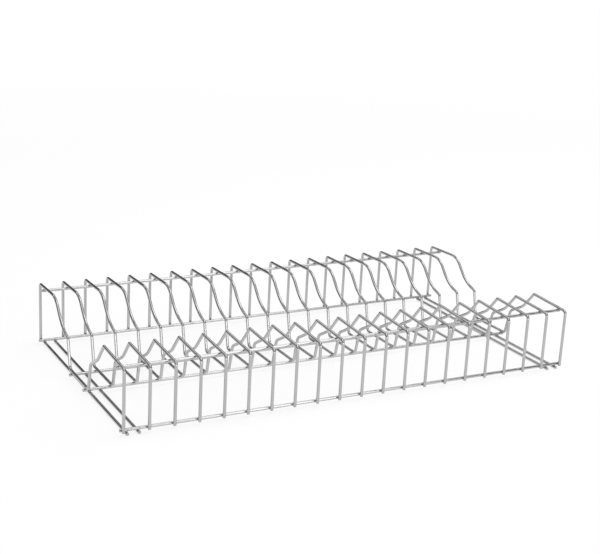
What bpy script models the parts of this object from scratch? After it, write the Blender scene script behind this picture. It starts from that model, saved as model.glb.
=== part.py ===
"""Cabinet dish rack of welded round wire.

Twenty-one bent cross wires stand side by side along X. Straight long wires join them at the front, the
back and under the trough in the middle, and two pairs of side rails under the ends carry the whole rack.
Units are metres. +X is along the rack, -Y is the front, +Z is up. The origin is on the surface that the
rack stands on, under its middle.
"""

import math
from collections import namedtuple

import bpy
from mathutils import Vector

# Wire and welds
WIRE_DIAMETER = 0.0034
WELD_GAP = 0.0003

# Row of cross wires
CROSS_WIRE_COUNT = 21
CROSS_WIRE_PITCH = 0.027
RACK_DEPTH = 0.283

# Heights of the bends above the surface that the rack stands on
FRONT_BEND_HEIGHT = 0.0708
FRONT_PEAK_HEIGHT = 0.0741
FRONT_DIP_HEIGHT = 0.0528
FRONT_SHOULDER_HEIGHT = 0.0401
BACK_SHOULDER_HEIGHT = 0.0431
BACK_DIP_HEIGHT = 0.0468
BACK_PEAK_HEIGHT = 0.0757
BACK_BEND_HEIGHT = 0.0736

# Distances of the front bends from the front uprights, and of the back bends from the back uprights
FRONT_PEAK_REACH = 0.0593
FRONT_DIP_REACH = 0.078
FRONT_SHOULDER_REACH = 0.1007
FRONT_TROUGH_REACH = 0.108
BACK_TROUGH_REACH = 0.1126
BACK_SHOULDER_REACH = 0.1045
BACK_DIP_REACH = 0.0856
BACK_PEAK_REACH = 0.0598

# Bend radii, on the centre line of the wire
TOP_BEND_RADIUS = 0.004
FRONT_PEAK_RADIUS = 0.0024
FRONT_DIP_RADIUS = 0.030
FRONT_SHOULDER_RADIUS = 0.007
TROUGH_BEND_RADIUS = 0.005
BACK_SHOULDER_RADIUS = 0.003
BACK_DIP_RADIUS = 0.050
BACK_PEAK_RADIUS = 0.024

# Long wires and side rails
LONG_WIRE_OVERHANG = 0.003
TROUGH_WIRE_OVERHANG = 0.0036
UPRIGHT_END_DROP = 0.0018
FRONT_TOP_RAIL_REACH = 0.014
BACK_TOP_RAIL_REACH = 0.0173
OUTER_SIDE_RAIL_INSET = 0.0044
INNER_SIDE_RAIL_INSET = 0.0169
SIDE_RAIL_SETBACK = 0.0005

# Places of the two trough wires, in from the ends of the level run, as shares of its length
TROUGH_FRONT_WIRE_SHARE = 0.127
TROUGH_BACK_WIRE_SHARE = 0.122

# Faceting: sides round a wire, and the most that two rings of a bend may turn and their chord may sag
CROSS_WIRE_SIDES = 8
STRAIGHT_WIRE_SIDES = 12
BEND_STEP_ANGLE = math.radians(32)
BEND_CHORD_SAG = 0.00025

# Places that follow from the sizes above
WIRE_RADIUS = WIRE_DIAMETER / 2
CROSSING_STEP = WIRE_DIAMETER + WELD_GAP
FRONT_Y = -RACK_DEPTH / 2
BACK_Y = RACK_DEPTH / 2
END_WIRE_X = (CROSS_WIRE_COUNT - 1) / 2 * CROSS_WIRE_PITCH
SIDE_RAIL_Z = WIRE_RADIUS
LONG_WIRE_Z = SIDE_RAIL_Z + CROSSING_STEP
LEVEL_RUN_Z = LONG_WIRE_Z + CROSSING_STEP
UPRIGHT_END_Z = LONG_WIRE_Z - UPRIGHT_END_DROP

# A corner of a bent wire, where its straight runs would meet; an end of the wire has no bend radius
Corner = namedtuple("Corner", "y z radius", defaults=(0,))


def corner_point(corner):
    return Vector((0, corner.y, corner.z))


def bent_path(corners):
    """Points along a wire in the YZ plane, rounded off at each inner corner by that corner's radius."""
    points = [corner_point(corners[0])]
    for before, corner, after in zip(corners, corners[1:], corners[2:]):
        tip = corner_point(corner)
        back_along = (corner_point(before) - tip).normalized()
        on_along = (corner_point(after) - tip).normalized()
        turn = math.pi - back_along.angle(on_along)
        trim = corner.radius * math.tan(turn / 2)
        centre = tip + (back_along + on_along).normalized() * corner.radius / math.cos(turn / 2)
        first_spoke = (tip + back_along * trim - centre).normalized()
        last_spoke = (tip + on_along * trim - centre).normalized()
        step_angle = min(BEND_STEP_ANGLE, 2 * math.acos(1 - BEND_CHORD_SAG / corner.radius))
        steps = max(1, math.ceil(turn / step_angle))
        for step in range(steps + 1):
            points.append(centre + first_spoke.slerp(last_spoke, step / steps) * corner.radius)
    points.append(corner_point(corners[-1]))
    return points


def wire_curve(name, points, sides):
    """A wire along the points, one wire diameter across its flats, with a flat on its lowest line."""
    curve = bpy.data.curves.new(name, "CURVE")
    curve.dimensions = "3D"
    curve.bevel_depth = WIRE_RADIUS / math.cos(math.pi / sides)
    curve.bevel_resolution = sides // 2 - 2
    curve.use_fill_caps = True
    spline = curve.splines.new("POLY")
    spline.points.add(len(points) - 1)
    for control, point in zip(spline.points, points):
        control.co = (*point, 1)
        control.tilt = math.pi / sides
    spline.use_smooth = True
    return curve


def bright_steel(name, colour, roughness):
    material = bpy.data.materials.new(name)
    material.use_nodes = True
    shader = material.node_tree.nodes["Principled BSDF"]
    shader.inputs["Base Color"].default_value = (*colour, 1)
    shader.inputs["Metallic"].default_value = 1
    shader.inputs["Roughness"].default_value = roughness
    material.diffuse_color = (*colour, 1)
    return material


def place(name, curve, material, location):
    piece = bpy.data.objects.new(name, curve)
    piece.location = location
    if not curve.materials:
        curve.materials.append(material)
    bpy.context.scene.collection.objects.link(piece)


def height_under_run(start, end, y):
    """Height at y of a long wire that lies one weld gap under the straight run between two corners."""
    rise = end.z - start.z
    reach = end.y - start.y
    run_height = start.z + rise * (y - start.y) / reach
    return run_height - CROSSING_STEP * math.hypot(rise, reach) / abs(reach)


for leftover in list(bpy.data.objects):
    bpy.data.objects.remove(leftover, do_unlink=True)

# Cross wires, from the foot of the front upright to the foot of the back upright
front_foot = Corner(FRONT_Y, UPRIGHT_END_Z)
front_bend = Corner(FRONT_Y, FRONT_BEND_HEIGHT, TOP_BEND_RADIUS)
front_peak = Corner(FRONT_Y + FRONT_PEAK_REACH, FRONT_PEAK_HEIGHT, FRONT_PEAK_RADIUS)
front_dip = Corner(FRONT_Y + FRONT_DIP_REACH, FRONT_DIP_HEIGHT, FRONT_DIP_RADIUS)
front_shoulder = Corner(FRONT_Y + FRONT_SHOULDER_REACH, FRONT_SHOULDER_HEIGHT, FRONT_SHOULDER_RADIUS)
trough_front = Corner(FRONT_Y + FRONT_TROUGH_REACH, LEVEL_RUN_Z, TROUGH_BEND_RADIUS)
trough_back = Corner(BACK_Y - BACK_TROUGH_REACH, LEVEL_RUN_Z, TROUGH_BEND_RADIUS)
back_shoulder = Corner(BACK_Y - BACK_SHOULDER_REACH, BACK_SHOULDER_HEIGHT, BACK_SHOULDER_RADIUS)
back_dip = Corner(BACK_Y - BACK_DIP_REACH, BACK_DIP_HEIGHT, BACK_DIP_RADIUS)
back_peak = Corner(BACK_Y - BACK_PEAK_REACH, BACK_PEAK_HEIGHT, BACK_PEAK_RADIUS)
back_bend = Corner(BACK_Y, BACK_BEND_HEIGHT, TOP_BEND_RADIUS)
back_foot = Corner(BACK_Y, UPRIGHT_END_Z)
cross_wire_path = bent_path([
    front_foot, front_bend, front_peak, front_dip, front_shoulder, trough_front,
    trough_back, back_shoulder, back_dip, back_peak, back_bend, back_foot,
])
cross_wire_curve = wire_curve("cross_wire", cross_wire_path, CROSS_WIRE_SIDES)
cross_wire_steel = bright_steel("cross_wire_steel", (0.5, 0.5, 0.505), 0.15)
for index in range(CROSS_WIRE_COUNT):
    x = index * CROSS_WIRE_PITCH - END_WIRE_X
    place(f"cross_wire_{index + 1:02d}", cross_wire_curve, cross_wire_steel, (x, 0, 0))

# Long wires, each welded to all the cross wires: place across the rack, height and overhang at each end
front_top_y = FRONT_Y + FRONT_TOP_RAIL_REACH
back_top_y = BACK_Y - BACK_TOP_RAIL_REACH
level_run_length = trough_back.y - trough_front.y
trough_front_y = trough_front.y + level_run_length * TROUGH_FRONT_WIRE_SHARE
trough_back_y = trough_back.y - level_run_length * TROUGH_BACK_WIRE_SHARE
front_top_z = height_under_run(front_bend, front_peak, front_top_y)
back_top_z = height_under_run(back_bend, back_peak, back_top_y)
long_wires = {
    "front_bottom_rail": (FRONT_Y + CROSSING_STEP, LONG_WIRE_Z, LONG_WIRE_OVERHANG),
    "front_top_rail": (front_top_y, front_top_z, LONG_WIRE_OVERHANG),
    "trough_front_wire": (trough_front_y, LONG_WIRE_Z, TROUGH_WIRE_OVERHANG),
    "trough_back_wire": (trough_back_y, LONG_WIRE_Z, TROUGH_WIRE_OVERHANG),
    "back_bottom_rail": (BACK_Y - CROSSING_STEP, LONG_WIRE_Z, LONG_WIRE_OVERHANG),
    "back_top_rail": (back_top_y, back_top_z, LONG_WIRE_OVERHANG),
}
long_wire_steel = bright_steel("long_wire_steel", (0.54, 0.54, 0.545), 0.16)
for name, (y, z, overhang) in long_wires.items():
    half_length = END_WIRE_X + overhang
    ends = [Vector((-half_length, 0, 0)), Vector((half_length, 0, 0))]
    place(name, wire_curve(name, ends, STRAIGHT_WIRE_SIDES), long_wire_steel, (0, y, z))

# Side rails, under the four lowest long wires, a pair at each end of the rack
rail_half_length = RACK_DEPTH / 2 - SIDE_RAIL_SETBACK
rail_ends = [Vector((0, -rail_half_length, 0)), Vector((0, rail_half_length, 0))]
side_rail_curve = wire_curve("side_rail", rail_ends, STRAIGHT_WIRE_SIDES)
side_rails = {
    "left_outer_side_rail": -END_WIRE_X + OUTER_SIDE_RAIL_INSET,
    "left_inner_side_rail": -END_WIRE_X + INNER_SIDE_RAIL_INSET,
    "right_inner_side_rail": END_WIRE_X - INNER_SIDE_RAIL_INSET,
    "right_outer_side_rail": END_WIRE_X - OUTER_SIDE_RAIL_INSET,
}
side_rail_steel = bright_steel("side_rail_steel", (0.46, 0.46, 0.465), 0.17)
for name, x in side_rails.items():
    place(name, side_rail_curve, side_rail_steel, (x, 0, SIDE_RAIL_Z))
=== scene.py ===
# %% [markdown]
# # A cabinet dish rack of welded wire
#
# The real rack is nothing but bright plated wire, 3.4 mm thick. Twenty-one wires are bent to one
# outline and stand in a row. Six long wires join them, and four side rails carry the row. So three
# things make it look right: how a wire turns at its bends, the welds where two wires cross, and how
# a mirror-bright round wire shows the room.
#
# The packed model has every wire as a plain solid. It is loaded first, and each new piece takes its
# place from it.

# %% Load the packed model
import math

import bpy
from mathutils import Matrix, Vector


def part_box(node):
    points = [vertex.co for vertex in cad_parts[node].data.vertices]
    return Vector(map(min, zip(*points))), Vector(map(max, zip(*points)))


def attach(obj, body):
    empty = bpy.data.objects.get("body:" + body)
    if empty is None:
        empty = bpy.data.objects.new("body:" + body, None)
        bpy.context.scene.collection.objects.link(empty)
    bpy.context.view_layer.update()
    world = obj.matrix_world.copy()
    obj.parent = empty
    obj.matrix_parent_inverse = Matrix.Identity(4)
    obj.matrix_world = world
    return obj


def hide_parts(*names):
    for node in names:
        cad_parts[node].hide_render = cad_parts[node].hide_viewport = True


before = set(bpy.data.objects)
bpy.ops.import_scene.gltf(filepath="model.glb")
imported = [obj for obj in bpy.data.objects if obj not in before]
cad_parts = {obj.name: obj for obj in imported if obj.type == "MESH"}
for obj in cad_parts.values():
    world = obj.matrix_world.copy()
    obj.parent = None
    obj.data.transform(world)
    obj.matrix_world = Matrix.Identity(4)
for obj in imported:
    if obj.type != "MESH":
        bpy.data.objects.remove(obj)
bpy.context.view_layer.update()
print("nodes:", len(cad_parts))

# %% [markdown]
# ## The outline of a cross wire
#
# A bending machine is told where the straight runs would meet and how tight each bend is. The list
# below says the same. The wire starts at the foot of the front upright, falls in an S into the
# trough in the middle, rises in another, and ends at the foot of the back upright.

# %% Corners of the outline
WIRE_RADIUS = 0.0017
CORNERS = [  # place from front to back, height, radius of the bend on the centre line
    (-0.1415, 0.0036, 0.0),
    (-0.1415, 0.0708, 0.004),
    (-0.0822, 0.0741, 0.0024),
    (-0.0635, 0.0528, 0.030),
    (-0.0408, 0.0401, 0.007),
    (-0.0335, 0.0091, 0.005),
    (0.0289, 0.0091, 0.005),
    (0.0370, 0.0431, 0.003),
    (0.0559, 0.0468, 0.050),
    (0.0817, 0.0757, 0.024),
    (0.1415, 0.0736, 0.004),
    (0.1415, 0.0036, 0.0),
]
print("corners:", len(CORNERS))

# %% Sort the wires by kind


def node_middle(node):
    low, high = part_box(node)
    return (low + high) / 2


cross_nodes = sorted(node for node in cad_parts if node.startswith("cross_wire"))
side_nodes = sorted(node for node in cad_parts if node.endswith("side_rail"))
long_nodes = sorted(set(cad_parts) - set(cross_nodes) - set(side_nodes))
cross_x = [node_middle(node).x for node in cross_nodes]
pitch = (cross_x[-1] - cross_x[0]) / (len(cross_x) - 1)
print("cross wires:", len(cross_nodes), "at a pitch in mm of", round(1000 * pitch, 2))
print("long wires:", len(long_nodes), "side rails:", len(side_nodes))

# %% [markdown]
# ## The centre line of each wire
#
# A wire is first drawn as bare edges from corner to corner, with its bend radius kept on each
# corner. A straight wire has two corners only, and both come from the box of its solid, so that no
# size is written twice.

# %% Draw the centre lines


def line_object(name, corners, radii):
    """Edges from corner to corner, which carry the radius of the bend at each."""
    mesh = bpy.data.meshes.new(name)
    mesh.from_pydata(corners, [(i, i + 1) for i in range(len(corners) - 1)], [])
    mesh.attributes.new("bend_radius", "FLOAT", "POINT").data.foreach_set("value", radii)
    line = bpy.data.objects.new(name, mesh)
    bpy.context.scene.collection.objects.link(line)
    return line


def straight_ends(node, axis):
    """The two ends of a straight wire's centre line."""
    low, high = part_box(node)
    first, last = node_middle(node), node_middle(node)
    first[axis], last[axis] = low[axis], high[axis]
    return [first, last]


X_AXIS, Y_AXIS = 0, 1
bend_radii = [radius for _, _, radius in CORNERS]
lines = {}
for node, x in zip(cross_nodes, cross_x):
    lines[node] = line_object(node + "_line", [(x, y, z) for y, z, _ in CORNERS], bend_radii)
for node in long_nodes:
    lines[node] = line_object(node + "_line", straight_ends(node, X_AXIS), [0, 0])
for node in side_nodes:
    lines[node] = line_object(node + "_line", straight_ends(node, Y_AXIS), [0, 0])
print("centre lines:", len(lines))

# %% [markdown]
# ## Where the wires are welded
#
# Every crossing is a resistance weld: two copper electrodes press the wires together and a current
# melts the spot where they touch. The spots are worked out once here. Each keeps the way from the
# one wire to the other and the run of the second wire. The beads are turned by both, and the
# electrodes' marks need only the first.

# %% Find the weld spots
RACKWARD, UPWARD = Vector((1, 0, 0)), Vector((0, 0, 1))
TOUCHING = 3 * WIRE_RADIUS  # wires whose middles lie nearer than this, one above the other, touch


def nearest_on_run(point, start, end):
    run = end - start
    share = max(0.0, min(1.0, (point - start).dot(run) / run.length_squared))
    return start + run * share


def nearest_on_outline(point):
    """The point of a cross wire's outline, in its own plane, that is nearest to a long wire."""
    runs = [Vector((0, y, z)) for y, z, _ in CORNERS]
    found = [nearest_on_run(point, start, end) for start, end in zip(runs, runs[1:])]
    return min(found, key=lambda spot: (spot - point).length)


welds = []
for node in long_nodes:
    middle = node_middle(node)
    in_plane = Vector((0, middle.y, middle.z))
    across = nearest_on_outline(in_plane) - in_plane
    axis = across.normalized()
    for x in cross_x:
        spot = Vector((x, middle.y, middle.z)) + across / 2
        welds.append((spot, axis, axis.cross(RACKWARD)))
for rail in side_nodes:
    rail_middle = node_middle(rail)
    for node in long_nodes:
        middle = node_middle(node)
        if middle.z - rail_middle.z < TOUCHING:
            spot = Vector((rail_middle.x, middle.y, (rail_middle.z + middle.z) / 2))
            welds.append((spot, UPWARD, RACKWARD))
print("welds:", len(welds))

# %% Keep them as the points of a mesh
spot_places, weld_axes, second_runs = zip(*welds)
weld_mesh = bpy.data.meshes.new("weld_spots")
weld_mesh.from_pydata(spot_places, [], [])
for name, directions in (("weld_axis", weld_axes), ("second_run", second_runs)):
    numbers = [number for direction in directions for number in direction]
    weld_mesh.attributes.new(name, "FLOAT_VECTOR", "POINT").data.foreach_set("vector", numbers)
weld_spots = bpy.data.objects.new("weld_spots", weld_mesh)
bpy.context.scene.collection.objects.link(weld_spots)
print("points:", len(weld_mesh.vertices))

# %% [markdown]
# ## Sums written as sums
#
# A node tree is a long sum. Drawn node by node it is hard to read, so one small class wraps a
# socket, and each plus or times on it adds a Math node to the tree. Every other kind of node comes
# from its one method, `node`.

# %% A socket that Python can calculate with


class Signal:
    """A socket of a node tree. Sums on it, and its methods, add nodes to that tree."""

    def __init__(self, tree, socket=None):
        self.tree = tree
        self.socket = socket

    def node(self, kind, settings=(), sockets=()):
        """Adds a node: its settings, then a value or link for each socket, by name or place."""
        made = self.tree.nodes.new(kind)
        for name, value in dict(settings).items():
            setattr(made, name, value)
        for key, value in dict(sockets).items():
            ready = [into for into in made.inputs if not into.is_unavailable]
            into = ready[key] if isinstance(key, int) else next(s for s in ready if s.name == key)
            if isinstance(value, Signal):
                self.tree.links.new(value.socket, into)
            else:
                into.default_value = value
        out = next((s for s in made.outputs if not s.is_unavailable), None)
        return Signal(self.tree, out)

    def out(self, name):
        """Another output of the node that this socket belongs to."""
        return Signal(self.tree, self.socket.node.outputs[name])

    def math(self, operation, *values):
        return self.node("ShaderNodeMath", {"operation": operation}, enumerate(values))

    def vector(self, operation, *values):
        return self.node("ShaderNodeVectorMath", {"operation": operation}, enumerate(values))

    def __add__(self, other):
        return self.math("ADD", self, other)

    def __radd__(self, other):
        return self.math("ADD", other, self)

    def __sub__(self, other):
        return self.math("SUBTRACT", self, other)

    def __rsub__(self, other):
        return self.math("SUBTRACT", other, self)

    def __mul__(self, other):
        return self.math("MULTIPLY", self, other)

    def __rmul__(self, other):
        return self.math("MULTIPLY", other, self)

    def __truediv__(self, other):
        return self.math("DIVIDE", self, other)

    def dot(self, other):
        return self.vector("DOT_PRODUCT", self, other).out("Value")

    def length(self):
        return self.vector("LENGTH", self).out("Value")

    def fade(self, near, far):
        """1 up to near, 0 from far on, and smooth in between."""
        sockets = {"Value": self, "From Min": near, "From Max": far, "To Min": 1.0, "To Max": 0.0}
        return self.node("ShaderNodeMapRange", {"interpolation_type": "SMOOTHSTEP"}, sockets)


print("a Signal can:", ", ".join(name for name in vars(Signal) if not name.startswith("_")))

# %% [markdown]
# ## The finish: bright plating over drawn wire
#
# Steel wire is pulled through a die, and fine lines stay along it even under nickel and chrome.
# Bending roughens the skin a little, and at a weld the plating lies duller over flash and
# heat-stained steel. The wires store how the steel was laid out before it was bent, as if still
# straight, so the lines can follow every bend.

# %% Patterns on the plating
LINE_SPACING = 0.00022
LINE_LENGTH = 0.030
TONE_SPOT = 0.045
PITS_PER_METRE = 2600.0
HEAT_CORE, HEAT_REACH = WIRE_RADIUS * 1.15, 0.0048
CUT_CORE, CUT_REACH = 0.0001, 0.0006


def attribute(draw, name, output="Fac"):
    return draw.node("ShaderNodeAttribute", {"attribute_name": name}).out(output)


def noise(place, **sockets):
    return place.node("ShaderNodeTexNoise", {}, {"Vector": place, **sockets})


def patterns(draw):
    """Die lines, slow change of tone and pits, then how near a weld's heat or a cut is."""
    laid_out = attribute(draw, "laid_out", "Vector")
    place = draw.node("ShaderNodeTexCoord").out("Object")
    stretched = laid_out.vector("DIVIDE", laid_out, (LINE_SPACING, LINE_SPACING, LINE_LENGTH))
    die_lines = noise(stretched, Scale=1.0, Detail=3.0, Roughness=0.6)
    tone = noise(place, Scale=1 / TONE_SPOT, Detail=2.0)
    pits = noise(place, Scale=PITS_PER_METRE, Detail=2.0, Roughness=0.7)
    heat = attribute(draw, "weld_distance").fade(HEAT_CORE, HEAT_REACH)
    cut = attribute(draw, "cut_distance").fade(CUT_CORE, CUT_REACH)
    return die_lines, tone, pits, heat, cut


print("die lines in mm:", 1000 * LINE_SPACING, "by", 1000 * LINE_LENGTH)

# %% Plated steel
TONE_SHARE = 0.5  # of the slow change of tone; the die lines have the rest
LIGHTEST, DARKEST = 1.08, 0.90  # times the plating's colour
STAIN = (0.84, 0.80, 0.74)  # times its red, green and blue
STAIN_EVEN, STAIN_PITTED = 0.45, 0.5
LINE_ROUGHNESS, BEND_ROUGHNESS, HEAT_ROUGHNESS, CUT_ROUGHNESS = 0.06, 0.05, 0.14, 0.25
LINES_LOST_AT_CUT = 0.6
HEAT_RELIEF, BEND_RELIEF = 1.6, 0.3
RELIEF_STRENGTH, RELIEF_DEPTH = 0.5, 0.000012


def mixed(share, first, second):
    """The first colour where the share is 0, the second where it is 1."""
    sockets = {"Factor": share, "A": first, "B": second}
    return share.node("ShaderNodeMix", {"data_type": "RGBA"}, sockets)


def plated_steel(name, colour, roughness):
    material = bpy.data.materials.new(name)
    material.use_nodes = True
    material.diffuse_color = (*colour, 1)
    tree = material.node_tree
    shader = tree.nodes["Principled BSDF"]
    shader.inputs["Metallic"].default_value = 1.0
    draw = Signal(tree)
    die_lines, tone, pits, heat, cut = patterns(draw)
    bend = attribute(draw, "bend")

    # Colour: a little darker in the lines, and stained to a dull straw grey where the weld was hot
    bright = (*[part * LIGHTEST for part in colour], 1)
    dark = (*[part * DARKEST for part in colour], 1)
    stained = (*[part * times for part, times in zip(colour, STAIN)], 1)
    skin = mixed(tone * TONE_SHARE + die_lines * (1 - TONE_SHARE), dark, bright)
    tinted = mixed(heat * (STAIN_EVEN + pits * STAIN_PITTED), skin, stained)
    tree.links.new(tinted.socket, shader.inputs["Base Color"])

    # Gloss: duller in the lines and bends, in the pits of a weld and at a cut
    rough = roughness + die_lines * LINE_ROUGHNESS + bend * BEND_ROUGHNESS
    rough = rough + heat * pits * HEAT_ROUGHNESS + cut * CUT_ROUGHNESS
    tree.links.new(rough.socket, shader.inputs["Roughness"])

    # Relief: the lines, and the pits where the steel was hot or bent
    relief = die_lines * (1 - cut * LINES_LOST_AT_CUT)
    relief = relief + (heat * HEAT_RELIEF + bend * BEND_RELIEF) * pits
    bump_sockets = {"Strength": RELIEF_STRENGTH, "Distance": RELIEF_DEPTH, "Height": relief}
    bumped = draw.node("ShaderNodeBump", {}, bump_sockets)
    tree.links.new(bumped.socket, shader.inputs["Normal"])
    print(name, "has", len(tree.nodes), "nodes")
    return material


# One plating in three tones. The cross wires have its plain colour. The long wires' colour is
# painted lighter, for the lamp light they reflect. The side rails' colour is painted darker, for
# the shade they lie in by the floor.
finishes = {
    "cross_wire": plated_steel("bright_cross_wire", colour=(0.50, 0.50, 0.505), roughness=0.15),
    "long_wire": plated_steel("long_wire_painted_lighter", colour=(0.54, 0.54, 0.545), roughness=0.16),
    "side_rail": plated_steel("side_rail_painted_darker", colour=(0.46, 0.46, 0.465), roughness=0.17),
}

# %% [markdown]
# ## From a centre line to a wire
#
# The tree below does what the workshop does. Fillet Curve bends each corner to its radius, and
# Curve to Mesh gives the line its round section. Rings are needed only in the bends and beside the
# welds, so the points of the long straight runs are dropped. Last, the electrodes' marks are
# pressed in: the side of the wire away from a weld gets a shallow flat, because the copper squeezes
# it there.

# %% Bend the line


def new_tree(name, inputs):
    """A tree with a geometry input and output, and the named inputs, given as name: type."""
    tree = bpy.data.node_groups.new(name, "GeometryNodeTree")
    tree.interface.new_socket("Geometry", in_out="INPUT", socket_type="NodeSocketGeometry")
    for label, kind in inputs.items():
        tree.interface.new_socket(label, in_out="INPUT", socket_type="NodeSocket" + kind)
    tree.interface.new_socket("Geometry", in_out="OUTPUT", socket_type="NodeSocketGeometry")
    tree.nodes.new("NodeGroupOutput")
    start = Signal(tree, tree.nodes.new("NodeGroupInput").outputs["Geometry"])
    return tree, start


def named(draw, name, kind="FLOAT"):
    """What is stored under a name at each point."""
    return draw.node("GeometryNodeInputNamedAttribute", {"data_type": kind}, {"Name": name})


wire_inputs = {
    "Wire radius": "Float",
    "Sides": "Int",
    "Arc points": "Int",
    "Ring spacing": "Float",
    "Ring reach": "Float",
    "Mark depth": "Float",
    "Mark length": "Float",
    "Weld spots": "Object",
    "Finish": "Material",
}
wire_tree, start = new_tree("bend_wire", wire_inputs)
corners = start.node("GeometryNodeMeshToCurve", {}, {"Mesh": start})
bend_radius = named(start, "bend_radius")
fillet_sockets = {"Curve": corners, "Count": start.out("Arc points"), "Radius": bend_radius}
bent = start.node("GeometryNodeFilletCurve", {"mode": "POLY"}, fillet_sockets)
fine_sockets = {"Curve": bent, "Length": start.out("Ring spacing")}
fine = start.node("GeometryNodeResampleCurve", {"mode": "LENGTH"}, fine_sockets)
print("nodes so far:", len(wire_tree.nodes))

# %% Store how bent each point is, and how far from a cut end
FULLY_BENT = 0.004  # a bend of this radius or less

here = start.node("GeometryNodeInputIndex")
tangent = start.node("GeometryNodeInputTangent")


def tangent_at(step):
    """The line's direction at the point that is so many steps on."""
    sockets = {"Value": tangent, "Index": here + step}
    return start.node("GeometryNodeFieldAtIndex", {"data_type": "FLOAT_VECTOR"}, sockets)


def stored(geometry, name, value, kind="FLOAT"):
    """The geometry with a value kept under a name at each point."""
    sockets = {"Geometry": geometry, "Name": name, "Value": value}
    settings = {"data_type": kind, "domain": "POINT"}
    return geometry.node("GeometryNodeStoreNamedAttribute", settings, sockets)


turned = start.vector("SUBTRACT", tangent_at(1), tangent_at(-1)).length()
curvature = turned / (start.out("Ring spacing") * 2)
along = start.node("GeometryNodeSplineParameter").out("Length")
whole = start.node("GeometryNodeSplineLength")
marked = stored(fine, "along", along)
marked = stored(marked, "cut_distance", start.math("MINIMUM", along, whole - along))
marked = stored(marked, "bend", start.math("MINIMUM", curvature * FULLY_BENT, 1.0))
print("nodes so far:", len(wire_tree.nodes))

# %% Drop the points of the long straight runs
STRAIGHT_ENOUGH = 2.0  # curvature, 1 over the radius in metres

spot_info = start.node("GeometryNodeObjectInfo", {}, {"Object": start.out("Weld spots")})
spots = spot_info.out("Geometry")
to_spots = start.node("GeometryNodeProximity", {"target_element": "POINTS"}, {"Geometry": spots})
weld_distance = to_spots.out("Distance")
at_end = start.node("GeometryNodeCurveEndpointSelection")
is_bent = curvature.math("GREATER_THAN", curvature, STRAIGHT_ENOUGH)
is_near = weld_distance.math("LESS_THAN", weld_distance, start.out("Ring reach"))
needed = is_bent + is_near + at_end
spare = 1 - start.math("MINIMUM", needed, 1.0)
drop_sockets = {"Geometry": marked, "Selection": spare}
sparse = start.node("GeometryNodeDeleteGeometry", {"domain": "POINT"}, drop_sockets)
print("nodes so far:", len(wire_tree.nodes))

# %% Give the line its round section
section_sockets = {"Resolution": start.out("Sides"), "Radius": start.out("Wire radius")}
section = start.node("GeometryNodeCurvePrimitiveCircle", {"mode": "RADIUS"}, section_sockets)
section = stored(section, "round_share", start.node("GeometryNodeSplineParameter").out("Factor"))
tube_sockets = {"Curve": sparse, "Profile Curve": section, "Fill Caps": True}
tube = start.node("GeometryNodeCurveToMesh", {}, tube_sockets)

# The place on the wire as if it were still straight, for the pattern of die lines
angle = named(start, "round_share") * math.tau
laid_out_sockets = {
    "X": start.math("COSINE", angle) * start.out("Wire radius"),
    "Y": start.math("SINE", angle) * start.out("Wire radius"),
    "Z": named(start, "along"),
}
laid_out = start.node("ShaderNodeCombineXYZ", {}, laid_out_sockets)
tube = stored(tube, "laid_out", laid_out, "FLOAT_VECTOR")
tube = stored(tube, "weld_distance", weld_distance)
print("nodes so far:", len(wire_tree.nodes))

# %% Press in the electrodes' marks
WELD_GAP = 0.0003
MARK_CORE_SHARE = 0.35  # of the mark's length, pressed to its full depth

position = start.node("GeometryNodeInputPosition")
nearest_sockets = {"Geometry": spots, "Sample Position": position}
nearest = start.node("GeometryNodeSampleNearest", {"domain": "POINT"}, nearest_sockets)


def of_nearest_spot(value):
    """A value as the nearest weld spot has it."""
    sockets = {"Geometry": spots, "Value": value, "Index": nearest}
    settings = {"data_type": "FLOAT_VECTOR", "domain": "POINT"}
    return start.node("GeometryNodeSampleIndex", settings, sockets)


def end_tree(tree, geometry, material):
    """Instances made real and the material set, as the last two nodes."""
    real = geometry.node("GeometryNodeRealizeInstances", {}, {"Geometry": geometry})
    sockets = {"Geometry": real, "Material": material}
    done = real.node("GeometryNodeSetMaterial", {}, sockets)
    out = next(node for node in tree.nodes if node.bl_idname == "NodeGroupOutput")
    tree.links.new(done.socket, out.inputs["Geometry"])
    print(tree.name, "has", len(tree.nodes), "nodes")


weld_axis = of_nearest_spot(named(start, "weld_axis", "FLOAT_VECTOR"))
from_spot = start.vector("SUBTRACT", position, of_nearest_spot(position))
height = from_spot.dot(weld_axis)
on_axis = start.vector("MULTIPLY", weld_axis, height)
beside = start.vector("SUBTRACT", from_spot, on_axis).length()
mark_length = start.out("Mark length")
press = start.out("Mark depth") * beside.fade(mark_length * MARK_CORE_SHARE, mark_length)

# A wire's far side is half the gap and one thickness from the spot, less what is pressed in
limit = start.out("Wire radius") * 2 + WELD_GAP / 2 - press
over = start.math("MAXIMUM", start.math("ABSOLUTE", height) - limit, 0.0)
push = start.math("MINIMUM", over, press) * start.math("SIGN", height) * -1.0
moved = start.vector("MULTIPLY", weld_axis, push)
tube = start.node("GeometryNodeSetPosition", {}, {"Geometry": tube, "Offset": moved})
smooth_sockets = {"Geometry": tube, "Shade Smooth": True}
smooth = start.node("GeometryNodeSetShadeSmooth", {"domain": "FACE"}, smooth_sockets)
end_tree(wire_tree, smooth, start.out("Finish"))

# %% [markdown]
# ## Make the wires
#
# Each centre line goes through the tree, a bevel rounds off the cut ends, and the result is kept as
# a plain mesh. The finished piece stands for its solid and rides on the body, and its name says
# which wire it is.

# %% The sizes that the tree is given
WIRE_SIZES = {
    "Wire radius": WIRE_RADIUS,
    "Sides": 20,
    "Arc points": 96,
    "Ring spacing": 0.0005,
    "Ring reach": 0.0054,
    "Mark depth": 0.00016,
    "Mark length": 0.0039,
}


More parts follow.
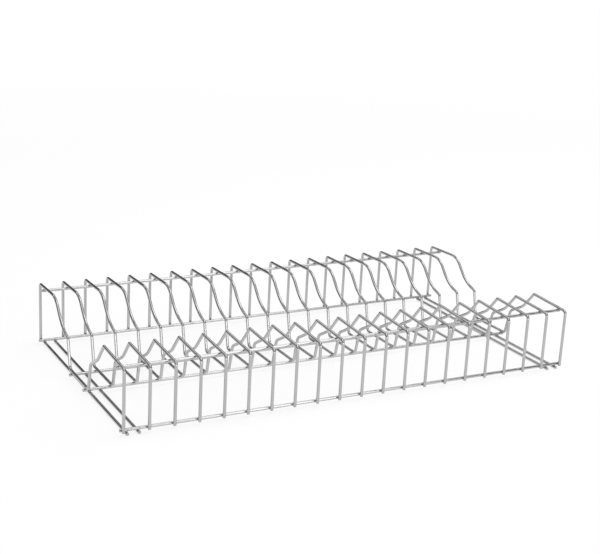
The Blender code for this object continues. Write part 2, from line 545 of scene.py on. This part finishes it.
def sized(modifier, values):
    """Sets a Geometry Nodes modifier's inputs, which it knows by identifier and not by name."""
    sockets = [s for s in modifier.node_group.interface.items_tree if s.in_out == "INPUT"]
    identifiers = {s.name: s.identifier for s in sockets}
    for label, value in values.items():
        modifier[identifiers[label]] = value


print("rings in the bends every", 1000 * WIRE_SIZES["Ring spacing"], "mm")

# %% Run the tree on every centre line
CUT_BEVEL_WIDTH = 0.0003
CUT_BEVEL_STEPS = 3
CUT_EDGE_ANGLE = math.radians(50)


def plain_mesh(source, name):
    """The evaluated source as a mesh object of its own; the source goes."""
    depsgraph = bpy.context.evaluated_depsgraph_get()
    mesh = bpy.data.meshes.new_from_object(source.evaluated_get(depsgraph), depsgraph=depsgraph)
    mesh.name = name
    piece = bpy.data.objects.new(name, mesh)
    bpy.context.scene.collection.objects.link(piece)
    bpy.data.objects.remove(source)
    return piece


def make_wire(node, slot):
    line = lines[node]
    tree_run = line.modifiers.new("wire", "NODES")
    tree_run.node_group = wire_tree
    sized(tree_run, {**WIRE_SIZES, "Weld spots": weld_spots, "Finish": finishes[slot]})
    rounding = line.modifiers.new("cut_ends", "BEVEL")
    rounding.width = CUT_BEVEL_WIDTH
    rounding.segments = CUT_BEVEL_STEPS
    rounding.limit_method = "ANGLE"
    rounding.angle_limit = CUT_EDGE_ANGLE
    piece = plain_mesh(line, "plated_" + node)
    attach(piece, "root")
    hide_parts(node)
    return piece


cross_wires = [make_wire(node, "cross_wire") for node in cross_nodes]
long_wires = [make_wire(node, "long_wire") for node in long_nodes]
side_rails = [make_wire(node, "side_rail") for node in side_nodes]
for wire in (cross_wires[0], long_wires[0], side_rails[0]):
    print(wire.name, len(wire.data.polygons), "faces")

# %% [markdown]
# ## The beads
#
# Between two crossing wires a weld leaves a small saddle of metal: narrow at its waist, and drawn
# out along each wire where it meets it. One saddle is made from listed rings, with a few dozen
# faces because it is repeated at every crossing, and Geometry Nodes set one at each weld spot,
# turned to the wires and a little different in size.

# %% One saddle of weld metal
BEAD_SIDES = 12
BEAD_RINGS = [  # height from the middle, half width along Y, half width along X
    (-0.00072, 0.00170, 0.00096),
    (-0.00036, 0.00134, 0.00111),
    (0.0, 0.00106, 0.00106),
    (0.00036, 0.00111, 0.00134),
    (0.00072, 0.00096, 0.00170),
]


def saddle():
    """A closed saddle: its foot is drawn out along Y and its head along X."""
    points = []
    for height, along_y, along_x in BEAD_RINGS:
        for side in range(BEAD_SIDES):
            turn = math.tau * side / BEAD_SIDES
            points.append((along_x * math.cos(turn), along_y * math.sin(turn), height))
    faces = [tuple(reversed(range(BEAD_SIDES)))]
    for ring in range(len(BEAD_RINGS) - 1):
        low, high = ring * BEAD_SIDES, (ring + 1) * BEAD_SIDES
        for side in range(BEAD_SIDES):
            after = (side + 1) % BEAD_SIDES
            faces.append((low + side, low + after, high + after, high + side))
    last = (len(BEAD_RINGS) - 1) * BEAD_SIDES
    faces.append(tuple(range(last, last + BEAD_SIDES)))
    mesh = bpy.data.meshes.new("saddle")
    mesh.from_pydata(points, [], faces)
    return bpy.data.objects.new("saddle", mesh)


saddle_shape = saddle()
print("saddle:", len(saddle_shape.data.polygons), "faces")

# %% Turn a saddle to each weld spot
FAR_FROM_CUT = 1.0

bead_inputs = {
    "Saddle": "Object",
    "Smallest": "Float",
    "Largest": "Float",
    "Seed": "Int",
    "Finish": "Material",
}
bead_tree, start = new_tree("set_beads", bead_inputs)
shape = start.node("GeometryNodeObjectInfo", {}, {"Object": start.out("Saddle")}).out("Geometry")
upright_sockets = {"Vector": named(start, "weld_axis", "FLOAT_VECTOR")}
upright = start.node("FunctionNodeAlignRotationToVector", {"axis": "Z"}, upright_sockets)
turn_settings = {"axis": "X", "pivot_axis": "Z"}
turn_sockets = {"Rotation": upright, "Vector": named(start, "second_run", "FLOAT_VECTOR")}
turned_to = start.node("FunctionNodeAlignRotationToVector", turn_settings, turn_sockets)
size_sockets = {
    "Min": start.out("Smallest"),
    "Max": start.out("Largest"),
    "Seed": start.out("Seed"),
}
size = start.node("FunctionNodeRandomValue", {"data_type": "FLOAT"}, size_sockets)
size_vector = start.node("ShaderNodeCombineXYZ", {}, {"X": size, "Y": size, "Z": 1.0})
bead_sockets = {"Points": start, "Instance": shape, "Rotation": turned_to, "Scale": size_vector}
beads = start.node("GeometryNodeInstanceOnPoints", {}, bead_sockets)
beads = start.node("GeometryNodeRealizeInstances", {}, {"Geometry": beads})
beads = stored(beads, "weld_distance", 0.0)
beads = stored(beads, "cut_distance", FAR_FROM_CUT)
smooth_sockets = {"Geometry": beads, "Shade Smooth": True}
beads = start.node("GeometryNodeSetShadeSmooth", {"domain": "FACE"}, smooth_sockets)
end_tree(bead_tree, beads, start.out("Finish"))

# %% Set the beads
BEAD_SIZES = {"Smallest": 0.9, "Largest": 1.12, "Seed": 7}

bead_run = weld_spots.modifiers.new("beads", "NODES")
bead_run.node_group = bead_tree
sized(bead_run, {"Saddle": saddle_shape, **BEAD_SIZES, "Finish": finishes["cross_wire"]})
weld_beads = plain_mesh(weld_spots, "weld_beads")
bpy.data.objects.remove(saddle_shape)
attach(weld_beads, "root")
print("weld beads:", len(weld_beads.data.polygons), "faces")

# %% [markdown]
# ## Floor and light
#
# Mirror-bright wire shows the room and little else, so the studio is most of the picture. The floor
# and the sky are white. Three soft lamps light the rack: a large one overhead on the right, a tall
# one in front on the right, and a long low one in front, which the wires that lean back pick up.
# Photographers set dark cards round such metal to draw its edges, and some stand or hang here, out
# of the picture. The one behind the rack darkens the wires that run from front to back, and those
# on the right darken the far ends of the long wires.

# %% White floor
FLOOR_HALF_SIDE = 14.0
FLOOR_DROP = 0.0001  # keeps it clear of the lowest wires
ONE_FACE = [(0, 1, 2, 3)]

side = FLOOR_HALF_SIDE
floor_corners = [(-side, -side, 0), (side, -side, 0), (side, side, 0), (-side, side, 0)]
floor_mesh = bpy.data.meshes.new("floor")
floor_mesh.from_pydata(floor_corners, [], ONE_FACE)
floor = bpy.data.objects.new("floor", floor_mesh)
floor.location.z = -FLOOR_DROP
bpy.context.scene.collection.objects.link(floor)
print("floor in m:", 2 * FLOOR_HALF_SIDE)

# %% White paper on it
WHITE = (1, 1, 1, 1)
PAPER_SHADE, PAPER_GLOW = 0.24, 0.80
LIT_ZONE, FAR_ZONE = 0.6, 2.5  # shadows show inside the first and are gone beyond the second


def grey(shade):
    return (shade, shade, shade, 1)


def seen_directly(draw):
    """1 for rays from the camera, and for those that metal or glass sends on; 0 for light."""
    rays = draw.node("ShaderNodeLightPath")
    seen = rays + rays.out("Is Glossy Ray") + rays.out("Is Transmission Ray")
    return seen.math("MINIMUM", seen, 1.0)


paper = bpy.data.materials.new("white_paper")
paper.use_nodes = True
paper_tree = paper.node_tree
paper_tree.nodes.remove(paper_tree.nodes["Principled BSDF"])
draw = Signal(paper_tree)
near = draw.node("ShaderNodeTexCoord").out("Object").length().fade(LIT_ZONE, FAR_ZONE)
seen = seen_directly(draw)
matt = draw.node("ShaderNodeBsdfDiffuse", {}, {"Color": grey(PAPER_SHADE)})
glow_sockets = {"Color": WHITE, "Strength": seen * PAPER_GLOW}
glow_near = draw.node("ShaderNodeEmission", {}, glow_sockets)
glow_far = draw.node("ShaderNodeEmission", {}, {"Color": WHITE, "Strength": 1.0})
lifted = draw.node("ShaderNodeAddShader", {}, {0: matt, 1: glow_near})
held_sockets = {"Fac": seen * (1 - near), 1: lifted, 2: glow_far}
held = draw.node("ShaderNodeMixShader", {}, held_sockets)
paper_tree.links.new(held.socket, paper_tree.nodes["Material Output"].inputs["Surface"])
floor_mesh.materials.append(paper)
print("paper has", len(paper_tree.nodes), "nodes")

# %% White sky that lights the rack a little
SKY_LIGHT = 0.62

world = bpy.data.worlds.new("studio")
world.use_nodes = True
bpy.context.scene.world = world
sky = world.node_tree.nodes["Background"]
sky.inputs["Color"].default_value = WHITE
sky_strength = SKY_LIGHT + seen_directly(Signal(world.node_tree)) * (1 - SKY_LIGHT)
world.node_tree.links.new(sky_strength.socket, sky.inputs["Strength"])
print("sky has", len(world.node_tree.nodes), "nodes")

# %% Soft lamps
RACK_MIDDLE = (0, 0, 0.03)


def facing(place, target):
    """A matrix at place whose own -Z looks at target."""
    turn = (Vector(target) - Vector(place)).to_track_quat("-Z", "Y")
    return Matrix.Translation(place) @ turn.to_matrix().to_4x4()


def soft_lamp(name, place, width, height, radiance):
    """A rectangular soft lamp, set by how bright its face is."""
    lamp = bpy.data.lights.new(name, "AREA")
    lamp.shape = "RECTANGLE"
    lamp.size, lamp.size_y = width, height
    lamp.energy = radiance * math.pi * width * height
    thing = bpy.data.objects.new(name, lamp)
    thing.matrix_world = facing(place, RACK_MIDDLE)
    thing.visible_camera = False
    bpy.context.scene.collection.objects.link(thing)


soft_lamp("top_lamp", (0.80, 0.1, 1.65), width=0.9, height=2.4, radiance=1.4)
soft_lamp("front_lamp", (0.70, -1.45, 1.2), width=0.55, height=1.4, radiance=1.35)
soft_lamp("low_lamp", (-0.1, -1.9, 0.2), width=2.4, height=0.4, radiance=2.0)
print("lamps:", [light.name for light in bpy.data.lights])

# %% Dark cards
CARD_ROUGHNESS = 0.9


def standing(bearing, away, width, low, high):
    """Corners of an upright card that faces the rack: bearing 0 is the back, 90 the right."""
    turn = math.radians(bearing)
    middle = Vector((math.sin(turn), math.cos(turn), 0)) * away
    half = Vector((math.cos(turn), -math.sin(turn), 0)) * width / 2
    down, up = Vector((0, 0, low)), Vector((0, 0, high))
    return [middle - half + down, middle + half + down, middle + half + up, middle - half + up]


def overhead(left, right, front, back, height):
    """Corners of a level card above the rack."""
    places = [(left, front), (right, front), (right, back), (left, back)]
    return [(x, y, height) for x, y in places]


def card(name, corners, shade):
    """A matt card that only the metal sees."""
    mesh = bpy.data.meshes.new(name)
    mesh.from_pydata(corners, [], ONE_FACE)
    matt = bpy.data.materials.new(name)
    matt.use_nodes = True
    shader = matt.node_tree.nodes["Principled BSDF"]
    shader.inputs["Base Color"].default_value = grey(shade)
    shader.inputs["Roughness"].default_value = CARD_ROUGHNESS
    mesh.materials.append(matt)
    thing = bpy.data.objects.new(name, mesh)
    thing.visible_camera = thing.visible_diffuse = thing.visible_shadow = False
    bpy.context.scene.collection.objects.link(thing)


upright_cards = {  # bearing, distance, width, height of the lower and of the upper edge, shade
    "back_card": (350, 1.8, 4.2, 0.0, 1.15, 0.20),
    "left_card": (268, 1.7, 2.0, 0.25, 1.7, 0.30),
    "right_card": (78, 1.55, 2.3, 0.15, 2.0, 0.02),
    "right_front_card": (123, 1.4, 0.97, 0.15, 1.4, 0.02),
    "front_card": (190, 1.7, 1.73, 0.4, 1.7, 0.05),
}
for name, (bearing, away, width, low, high, shade) in upright_cards.items():
    card(name, standing(bearing, away, width, low, high), shade)
hanging = overhead(left=-1.4, right=-0.2, front=-0.3, back=1.4, height=1.75)
card("overhead_card", hanging, shade=0.02)
print("cards:", len(upright_cards) + 1)

# %% [markdown]
# ## Camera
#
# The place and the lens come from a camera fit: where some 540 places along the wires are seen was
# measured, and the camera has to stand where it sees them so. The camera was held with a slight
# roll.

# %% Camera
LENS_MM, SENSOR_MM = 74.48, 36.0
SEES_AS_FAR_AS = 60.0
CAMERA_PLACE = (-0.65751, -1.20295, 0.50784)
AZIMUTH, ELEVATION, ROLL = math.radians(-28.429), math.radians(16.68), math.radians(3.006)

flat = math.cos(ELEVATION)
back = Vector((math.sin(AZIMUTH) * flat, -math.cos(AZIMUTH) * flat, math.sin(ELEVATION)))
level = Vector((math.cos(AZIMUTH), math.sin(AZIMUTH), 0))
over_top = back.cross(level)
right = math.cos(ROLL) * level + math.sin(ROLL) * over_top
up = math.cos(ROLL) * over_top - math.sin(ROLL) * level
turned_right = Matrix((right, up, back)).transposed().to_4x4()

camera_data = bpy.data.cameras.new("camera")
camera_data.sensor_width = SENSOR_MM
camera_data.lens = LENS_MM
camera_data.clip_end = SEES_AS_FAR_AS
camera = bpy.data.objects.new("camera", camera_data)
camera.matrix_world = Matrix.Translation(CAMERA_PLACE) @ turned_right
bpy.context.scene.collection.objects.link(camera)
bpy.context.scene.camera = camera
bpy.context.scene.view_settings.view_transform = "Standard"
print("camera stands", round(camera.location.length, 2), "m from the rack's middle")

# %% [markdown]
# ## The end
